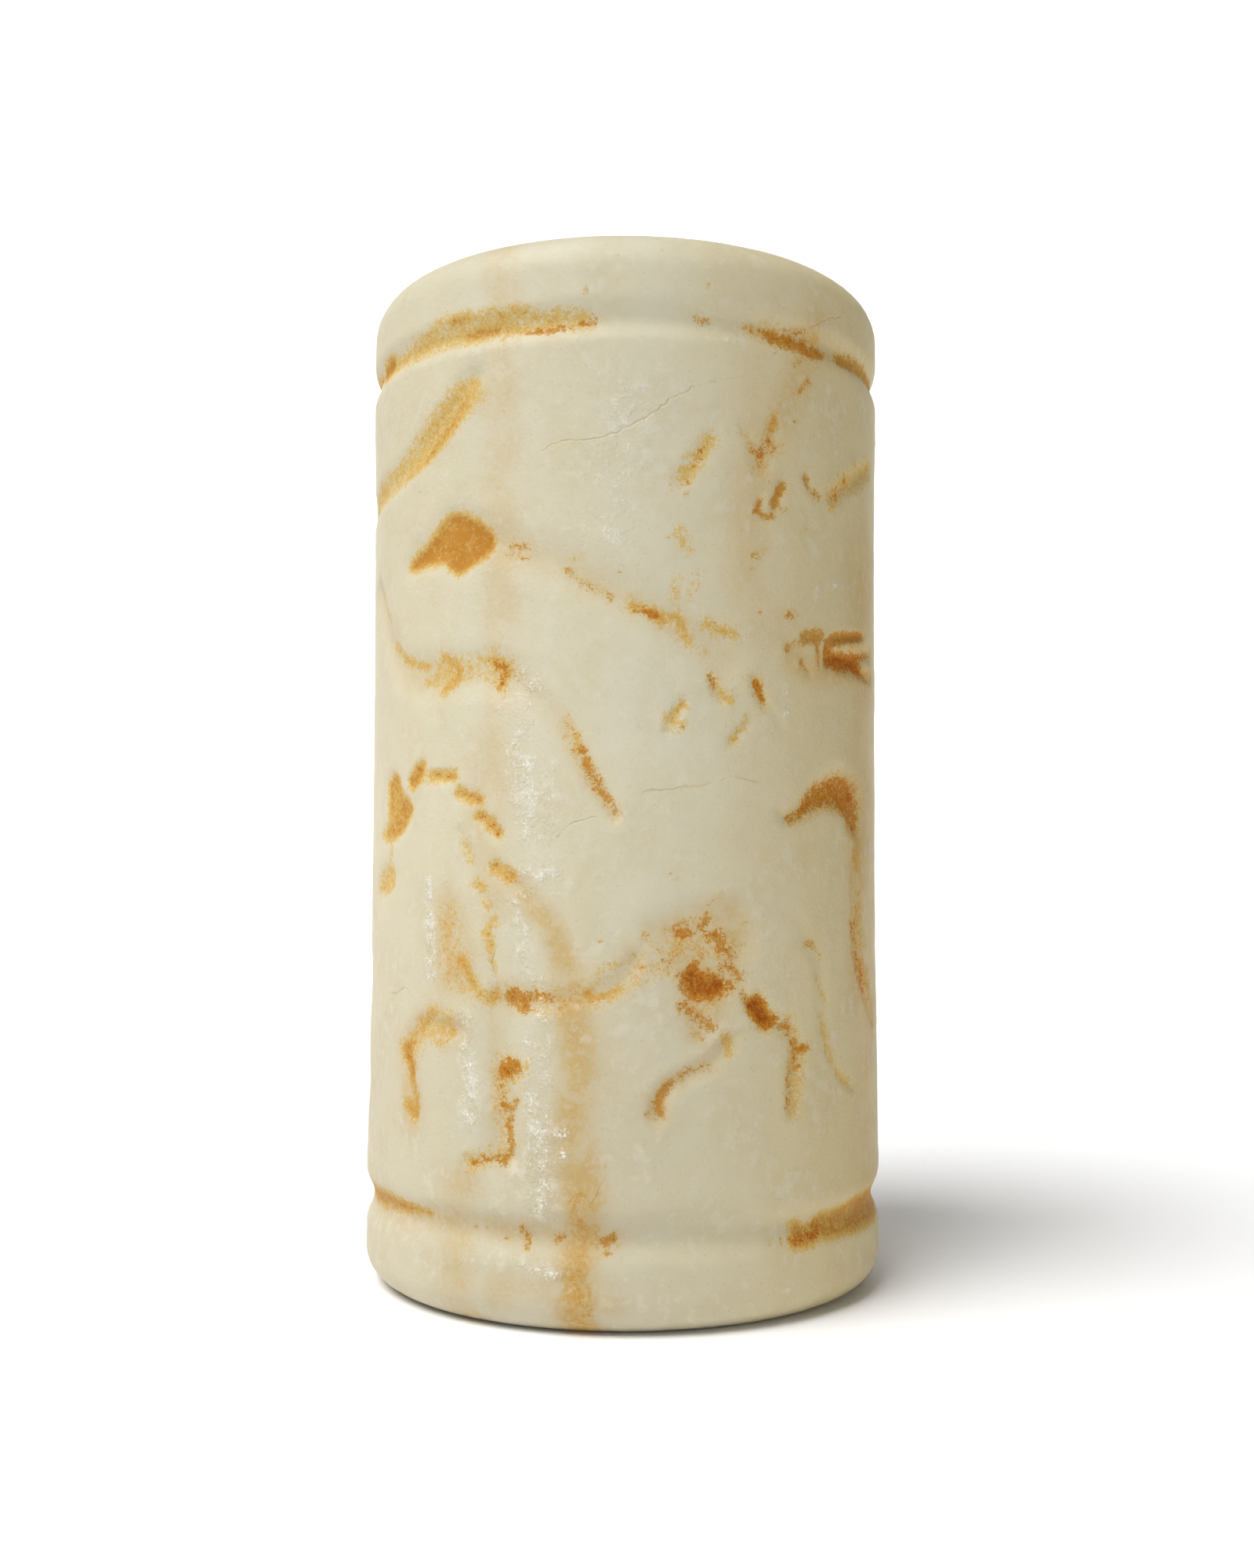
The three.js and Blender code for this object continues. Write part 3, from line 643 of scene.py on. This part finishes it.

# Paler crystals in the worn middle and small white flecks: partly the stone's own, partly painted highlight
# where the low lamp's sheen and glints fall
tint(sheen_and_flecks, stroke([(-4.2, 25), (-3.7, 21), (-3.3, 17.4)], 3, flat=0.2), 0.75)
tint(sheen_and_flecks, stroke([(-3.5, 12.4), (-3.3, 9), (-3.2, 5)], 1.9), 0.9)
tint(sheen_and_flecks, stroke([(-8.8, 17.4), (-8.6, 15), (-8.6, 13.6)], 0.9), 1.1)
tint(sheen_and_flecks, stroke([(-4.4, 16.6), (-3.8, 14.6), (-3.4, 13)], 1.5), 0.8)
tint(sheen_and_flecks, stroke([(-6.6, 12), (-6.4, 10), (-6.3, 8)], 1.3), 0.9)
tint(sheen_and_flecks, stroke([(0, 36), (-0.5, 33), (-1, 31)], 4), 0.4)
tint(sheen_and_flecks, stroke([(8.6, 29.2), (10, 29.6)], 0.8), 0.9)
tint(sheen_and_flecks, stroke([(6.9, 25.2), (6.95, 23.8)], 0.6), 0.9)
dots(sheen_and_flecks, 0.9, 1.1, (-2.4, 7.8), (-2.3, 6.9))
tint(sheen_and_flecks, stroke([(-3.8, 2.6), (-2.6, 2.4)], 1), 0.9)
dots(sheen_and_flecks, 0.8, 0.9, (9.2, 28.4), (10.3, 25.3), (4.3, 38.8), (4.9, 14.1), (0, 2.5), (7, 1.5), (-6.4, 2.6))

# Hairline cracks: how far each point is from the nearest one, with a sign for its side, and where one is open
CRACK_REACH = 0.9
crack_side = np.full(len(points), CRACK_REACH)
crack_open = np.zeros(len(points))
for places in (
    [(-3.6, 34.2), (-2.6, 34.6), (-1, 34.7), (0, 35.1), (1, 35.6), (2, 36.4), (3, 36.9), (5.2, 37.6)],
    [(5.2, 37.6), (6, 38.2), (6.5, 38.8)],
    [(8.2, 40), (9.2, 40.6), (10.2, 41), (11, 42.1)],
    [(-3, 18.9), (-1.8, 19.7), (-0.5, 20)],
    [(0.6, 20.8), (1.6, 21), (3, 21.1), (4.3, 21.5), (5.8, 21.2)],
    [(-11.8, 12.6), (-10.3, 12.9), (-9.9, 12.6)],
    [(-0.6, 6.6), (-0.8, 5.8), (-1.3, 5)],
    [(-5.2, 14.8), (-5.4, 14.1), (-5.1, 13.5)],
):
    chosen, off, along = near_line(places, CRACK_REACH)
    nearer = np.abs(off) < np.abs(crack_side[chosen])
    crack_side[chosen[nearer]] = off[nearer]
    crack_open[chosen[nearer]] = (ease(0, 0.1, along) * ease(0, 0.1, 1 - along))[nearer]


# The worn side: border grooves, a waist that handling has worn in, and slow unevenness of hand work.
# A groove is given by its height on the side, its width and its depth.
BASE_GROOVE = (3.75, 2.3, 0.34)
TOP_GROOVE = (39.45, 1.9, 0.27)
WAIST_DEPTH = 0.1
WAIST_FOOT = 5.5
WAIST_LENGTH = 31.5


def groove(middle, width, deep):
    wander = 0.05 * np.sin(2 * turn + 1) + 0.03 * np.sin(5 * turn)
    reach = np.abs(up - middle - wander) / (width / 2)
    return deep * np.cos(np.clip(reach, 0, 1) * quarter)**2


border_grooves = groove(*BASE_GROOVE) + groove(*TOP_GROOVE)
waist = WAIST_DEPTH * np.sin(np.clip((up - WAIST_FOOT) / WAIST_LENGTH, 0, 1) * math.pi)**0.5
uneven = 0.03 * np.sin(3 * turn + 0.7) * np.sin(up / 5 + 1) + 0.02 * np.sin(7 * turn + up / 4)
ripple = np.array([noise.fractal(Vector(point) * 0.5, 0.8, 2, 3) for point in points]) * 0.035
worn_in = border_grooves + waist + depth + np.abs(uneven + ripple) * 0.6
out = out - np.where(on_side, worn_in, 0)
points[:, 0] = out * np.sin(turn)
points[:, 1] = -out * np.cos(turn)
stone_mesh.vertices.foreach_set("co", (points * mm).ravel())

for name, values in (
    ("ochre", ochre),
    ("rust", rust),
    ("vein", vein),
    ("sheen_and_flecks", sheen_and_flecks),
    ("crack_side", crack_side),
    ("crack_open", crack_open),
    ("cut_depth", depth / 0.4),
):
    stone_mesh.attributes.new(name, "FLOAT", "POINT").data.foreach_set("value", values)
stone_mesh.update()


# Shader maths as plain expressions on sockets
class Wire:
    def __init__(self, nodes, socket):
        self.nodes = nodes
        self.socket = socket

    def math(self, operation, other, swapped=False):
        pair = [other, self] if swapped else [self, other]
        return self.nodes.add("ShaderNodeMath", {"operation": operation}, {0: pair[0], 1: pair[1]})

    def __add__(self, other):
        return self.math("ADD", other)

    def __radd__(self, other):
        return self.math("ADD", other, swapped=True)

    def __sub__(self, other):
        return self.math("SUBTRACT", other)

    def __rsub__(self, other):
        return self.math("SUBTRACT", other, swapped=True)

    def __mul__(self, other):
        return self.math("MULTIPLY", other)

    def __rmul__(self, other):
        return self.math("MULTIPLY", other, swapped=True)

    def __abs__(self):
        return self.math("ABSOLUTE", 0)


class Nodes:
    def __init__(self, material):
        material.use_nodes = True
        self.tree = material.node_tree
        self.tree.nodes.clear()

    def add(self, kind, settings=None, values=None, output=0):
        node = self.tree.nodes.new(kind)
        for name, setting in (settings or {}).items():
            setattr(node, name, setting)
        for name, value in (values or {}).items():
            if isinstance(value, Wire):
                self.tree.links.new(value.socket, node.inputs[name])
            else:
                node.inputs[name].default_value = value
        return Wire(self, node.outputs[output]) if node.outputs else None

    def field(self, name):
        return self.add("ShaderNodeAttribute", {"attribute_name": name}, output=2)

    def cloud(self, where, size, detail=3, roughness=0.5, bend=0):
        values = {
            "Vector": where,
            "Scale": 1 / size,
            "Detail": detail,
            "Roughness": roughness,
            "Distortion": bend,
        }
        return self.add("ShaderNodeTexNoise", {}, values)

    def step(self, value, start, end):
        settings = {"interpolation_type": "SMOOTHSTEP"}
        return self.add("ShaderNodeMapRange", settings, {"Value": value, "From Min": start, "From Max": end})

    def blend(self, share, first, second, mode="MIX"):
        settings = {"data_type": "RGBA", "blend_type": mode}
        return self.add("ShaderNodeMix", settings, {0: share, 6: first, 7: second}, output=2)


# Colours are shares of the light that comes back in red, green and blue.
# Those from khaki on tint what they lie on.
CREAM = (0.66, 0.62, 0.475, 1)
SALLOW = (0.65, 0.605, 0.45, 1)
# Whiter colour: partly painted sheen in the lit worn middle, partly the stone's own cloudy whiter patches
WHITISH = (0.72, 0.7, 0.6, 1)
# Painted glints
PAINTED_GLINT_WHITE = (0.88, 0.87, 0.82, 1)
# Yellow of the left flank: partly the stone's tone, partly painted glow of the lit side
LIT_SIDE_YELLOW = (0.7, 0.63, 0.455, 1)
# Khaki of the right flank: partly the stone's tone, partly painted shade away from the key light
KHAKI_AND_SHADE = (0.98, 0.89, 0.67, 1)
# Painted shade for the lower left of the front
SHADED = (0.86, 0.85, 0.84, 1)
CLOUDY = (0.94, 0.9, 0.82, 1)
BANDED = (0.98, 0.94, 0.86, 1)
# Painted shade in the cuts
CUT_SHADE = (0.96, 0.91, 0.8, 1)
VEIN = (0.91, 0.71, 0.41, 1)
SPECK = (0.7, 0.62, 0.5, 1)
LIGHT_OCHRE = (1, 0.78, 0.36, 1)
DEEP_OCHRE = (0.77, 0.48, 0.18, 1)
GOLDEN = (0.85, 0.59, 0.25, 1)
BROWN = (0.69, 0.51, 0.28, 1)

STONE_ROUGHNESS = 0.5
RELIEF_DEPTH = 0.1
GLOW_DEPTH = 0.4  # how far light spreads under the surface

stone = bpy.data.materials.new("worn_calcite")
nodes = Nodes(stone)
here = nodes.add("ShaderNodeTexCoord", output=3)
place = nodes.add("ShaderNodeVectorMath", {"operation": "SCALE"}, {0: here, "Scale": 1 / mm})
streak = nodes.add("ShaderNodeVectorMath", {"operation": "MULTIPLY"}, {0: place, 1: (1, 1, 0.12)})
sideways = nodes.add("ShaderNodeSeparateXYZ", {}, {0: place})
climb = nodes.add("ShaderNodeSeparateXYZ", {}, {0: place}, output=2)

slow = nodes.cloud(place, 9, 2)
patchy = nodes.cloud(place, 2.2, 4, 0.6)
fine = nodes.cloud(place, 0.5, 3, 0.6)
grain = nodes.cloud(place, 0.14, 2, 0.7)
bands = nodes.cloud(streak, 2.6, 4, 0.6)
coarse_crumbs = nodes.cloud(place, 0.5, 5, 0.8, 0.7) - 0.5
small_crumbs = nodes.cloud(place, 0.15, 3, 0.8, 1) - 0.5
crumble = coarse_crumbs * 1.1 + small_crumbs * 1.5

# The stone itself: cream, with faint upright bands and cloudy whiter patches. It is yellower on the left
# flank, partly its own tone and partly painted glow of light through the lit side, and more khaki to the
# right, partly its own tone and partly painted shade on the side away from the key light
body = nodes.blend(nodes.step(slow, 0.35, 0.65), CREAM, SALLOW)
# Left flank yellower: partly the stone's tone, partly painted glow of the lit side
body = nodes.blend(nodes.step(0 - sideways, 5, 11) * 0.8, body, LIT_SIDE_YELLOW)
# Right side more khaki: partly the stone's tone, partly painted shade away from the key light
body = nodes.blend(nodes.step(sideways, 0.5, 10), body, KHAKI_AND_SHADE, "MULTIPLY")
body = nodes.blend(nodes.step(patchy, 0.4, 0.68) * 0.6, body, CLOUDY, "MULTIPLY")
body = nodes.blend(nodes.step(bands, 0.4, 0.65) * 0.4, body, BANDED, "MULTIPLY")
# Painted shade: the lower left of the front is darkened
low_left = nodes.step(0 - climb, -22, -3) * nodes.step(0 - sideways, -9, 1)
body = nodes.blend(low_left, body, SHADED, "MULTIPLY")
# Painted shade in the cuts: darker and warmer the deeper the cut
body = nodes.blend(nodes.field("cut_depth") * 0.5, body, CUT_SHADE, "MULTIPLY")
vein_cloud = nodes.step(patchy + (fine - 0.5) * 0.9 + crumble * 0.2, 0.32, 0.68)
vein_share = nodes.field("vein") * (0.4 + 0.6 * vein_cloud)
body = nodes.blend(vein_share * 0.9, body, VEIN, "MULTIPLY")
# Where the sheen-and-flecks field lies the stone is smoother and more finely bumped, and its colour whiter
# and sparkling: partly its own crystals, partly painted sheen and glints
polish_and_sheen = nodes.field("sheen_and_flecks") * (0.25 + 1.05 * nodes.step(patchy + (fine - 0.5) * 0.5, 0.4, 0.58))
crystal_and_sheen = polish_and_sheen * nodes.step(fine * 0.5 + grain * 0.5, 0.4, 0.66)
body = nodes.blend(crystal_and_sheen * 0.6, body, WHITISH)
# Painted glints: bright specks standing in for light caught by the stone's grains
painted_glint = polish_and_sheen * nodes.step(nodes.cloud(place, 0.09, 1) + (fine - 0.5) * 0.6, 0.6, 0.72)
body = nodes.blend(painted_glint * 0.8, body, PAINTED_GLINT_WHITE)
body = nodes.blend(nodes.step(fine + (patchy - 0.5) * 0.8, 0.5, 0.8) * 0.35, body, WHITISH)
body = nodes.blend(nodes.step(1 - grain, 0.6, 0.78) * 0.4, body, SPECK, "MULTIPLY")

# Ochre lies in the cuts as a soft powder, deeper where it is thick
ochre_here = nodes.field("ochre")
powder = crumble * 1.25 + (patchy - 0.5) * 0.5
ochre_share = nodes.step(ochre_here + powder, 0.14, 0.6) * nodes.step(ochre_here, 0.02, 0.2)
body = nodes.blend(ochre_share, body, LIGHT_OCHRE, "MULTIPLY")
body = nodes.blend(nodes.step(ochre_here + powder, 0.5, 1.35), body, DEEP_OCHRE, "MULTIPLY")

# Rust clings as crumbs, golden at their edges and brown in the middle, in a faint yellow halo
rust_here = nodes.field("rust")
rusted = rust_here + crumble
rust_share = nodes.step(rusted, 0.52, 0.62) * nodes.step(rust_here, 0.02, 0.15)
body = nodes.blend(nodes.step(rust_here + crumble * 0.4, 0.1, 0.8) * 0.6, body, LIGHT_OCHRE, "MULTIPLY")
body = nodes.blend(rust_share, body, GOLDEN, "MULTIPLY")
body = nodes.blend(nodes.step(rusted, 0.72, 1.2) * rust_share, body, BROWN, "MULTIPLY")

wander = (nodes.cloud(place, 0.8, 3, 0.6) - 0.5) * 0.5
crack_line = abs(nodes.field("crack_side") + wander)
crack_runs = nodes.field("crack_open") * nodes.step(patchy + fine, 0.8, 1.05)
crack = (1 - nodes.step(crack_line, 0.01, 0.06)) * crack_runs
body = nodes.blend(crack * 0.4, body, VEIN, "MULTIPLY")

rough = STONE_ROUGHNESS + (patchy - 0.5) * 0.25 + rust_share * 0.2 + ochre_share * 0.1 - polish_and_sheen * 0.22
relief = grain * (0.35 + polish_and_sheen * 0.9) + fine * (0.65 + polish_and_sheen * 0.5) - rust_share * 0.3 * grain - crack * 0.8
bump = nodes.add("ShaderNodeBump", {}, {"Strength": 0.5, "Distance": RELIEF_DEPTH * mm, "Height": relief})
shader = nodes.add("ShaderNodeBsdfPrincipled", {"subsurface_method": "RANDOM_WALK"}, {
    "Base Color": body,
    "Roughness": rough,
    "Normal": bump,
    "IOR": 1.5,
    "Specular IOR Level": 0.2,
    "Subsurface Weight": 0.15,
    "Subsurface Radius": (1, 0.7, 0.4),
    "Subsurface Scale": GLOW_DEPTH * mm,
})
nodes.add("ShaderNodeOutputMaterial", {}, {"Surface": shader})
stone_mesh.materials.append(stone)

seal = bpy.data.objects.new("engraved_seal", stone_mesh)
bpy.context.collection.objects.link(seal)
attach(seal, "root")
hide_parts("seal")

# The table: one sheet of plain white card that runs flat under the seal and sweeps up behind it, so the
# backdrop has no edge in view.
SWEEP_WIDTH = 0.5
SWEEP_FRONT = 0.25
SWEEP_BACK = 0.22
SWEEP_BEND = 0.1
SWEEP_RISE = 0.3
sweep = bmesh.new()
front = sweep.verts.new((-SWEEP_WIDTH / 2, -SWEEP_FRONT, 0))
bent = sweep.verts.new((-SWEEP_WIDTH / 2, SWEEP_BACK, 0))
sweep.edges.new((front, bent))
turned = bmesh.ops.spin(
    sweep, geom=[bent], cent=(0, SWEEP_BACK, SWEEP_BEND), axis=(1, 0, 0), dvec=(0, 0, 0),
    angle=quarter, steps=16,
)
risen = [part for part in turned["geom_last"] if isinstance(part, bmesh.types.BMVert)]
top = bmesh.ops.extrude_vert_indiv(sweep, verts=risen)["verts"][0]
top.co.z = SWEEP_RISE
across_card = bmesh.ops.extrude_edge_only(sweep, edges=sweep.edges[:])
moved = [part for part in across_card["geom"] if isinstance(part, bmesh.types.BMVert)]
bmesh.ops.translate(sweep, verts=moved, vec=(SWEEP_WIDTH, 0, 0))
bmesh.ops.remove_doubles(sweep, verts=sweep.verts[:], dist=1e-5)
bmesh.ops.recalc_face_normals(sweep, faces=sweep.faces[:])
for face in sweep.faces:
    face.smooth = True
card_mesh = bpy.data.meshes.new("white_card")
sweep.to_mesh(card_mesh)
sweep.free()

white_card = bpy.data.materials.new("white_card")
nodes = Nodes(white_card)
shader = nodes.add("ShaderNodeBsdfPrincipled", {}, {
    "Base Color": (0.95, 0.95, 0.95, 1),
    "Roughness": 0.7,
})
nodes.add("ShaderNodeOutputMaterial", {}, {"Surface": shader})
card_mesh.materials.append(white_card)
card = bpy.data.objects.new("white_card", card_mesh)
bpy.context.collection.objects.link(card)


# The light: a broad soft one high on the left, a low narrow one that gives the waist its polish, a fill from
# the right and an even surround.
# Angles are from the camera's side of the seal, turning to its right, and up from the table.
def from_seal(azimuth, elevation, distance):
    around = math.radians(azimuth)
    rise = math.radians(elevation)
    return Vector((
        distance * math.cos(rise) * math.sin(around),
        -distance * math.cos(rise) * math.cos(around),
        distance * math.sin(rise),
    ))


def soft_sun(name, azimuth, elevation, spread, strength):
    light = bpy.data.lights.new(name, "SUN")
    light.angle = math.radians(spread)
    light.energy = strength
    lamp = bpy.data.objects.new(name, light)
    lamp.rotation_euler = from_seal(azimuth, elevation, 1).to_track_quat("Z", "Y").to_euler()
    bpy.context.collection.objects.link(lamp)


def panel(name, azimuth, elevation, distance, width, tall, power):
    light = bpy.data.lights.new(name, "AREA")
    light.shape = "RECTANGLE"
    light.size = width
    light.size_y = tall
    light.energy = power
    lamp = bpy.data.objects.new(name, light)
    middle = Vector((0, 0, high.z / 2))
    lamp.location = middle + from_seal(azimuth, elevation, distance)
    lamp.rotation_euler = from_seal(azimuth, elevation, 1).to_track_quat("Z", "Y").to_euler()
    bpy.context.collection.objects.link(lamp)


soft_sun("high_left", -50, 60, 38, 3.24)
soft_sun("low_right", 48, 5, 60, 0.53)
panel("low_left", -38, 4, 0.12, 0.006, 0.06, 0.009)

# A panel behind the seal, turned away from it, washes the backdrop
wash = bpy.data.lights.new("backdrop_wash", "AREA")
wash.shape = "RECTANGLE"
wash.size = 0.5
wash.size_y = 0.05
wash.energy = 0.6
wash_lamp = bpy.data.objects.new("backdrop_wash", wash)
wash_lamp.location = (0, 0.12, 0.22)
wash_lamp.rotation_euler = (math.radians(80), 0, 0)
bpy.context.collection.objects.link(wash_lamp)

surround = bpy.data.worlds.new("even_surround")
surround.use_nodes = True
surround.node_tree.nodes["Background"].inputs["Color"].default_value = (1, 1, 1, 1)
surround.node_tree.nodes["Background"].inputs["Strength"].default_value = 0.11
bpy.context.scene.world = surround
bpy.context.scene.view_settings.view_transform = "Standard"

# The camera: close in front and level with the seal's lower half, tilted up a little
CAMERA_BACK = 74
CAMERA_UP = 18
CAMERA_RIGHT = 0.13
CAMERA_TILT = 2.892
CAMERA_ROLL = -0.171
lens = bpy.data.cameras.new("camera")
lens.lens = 37.31
lens.clip_start = 0.005
lens.clip_end = 20
camera = bpy.data.objects.new("camera", lens)
camera.location = Vector((CAMERA_RIGHT, -CAMERA_BACK, CAMERA_UP)) * mm
camera.rotation_euler = (math.radians(90 + CAMERA_TILT), math.radians(CAMERA_ROLL), 0)
bpy.context.collection.objects.link(camera)
bpy.context.scene.camera = camera
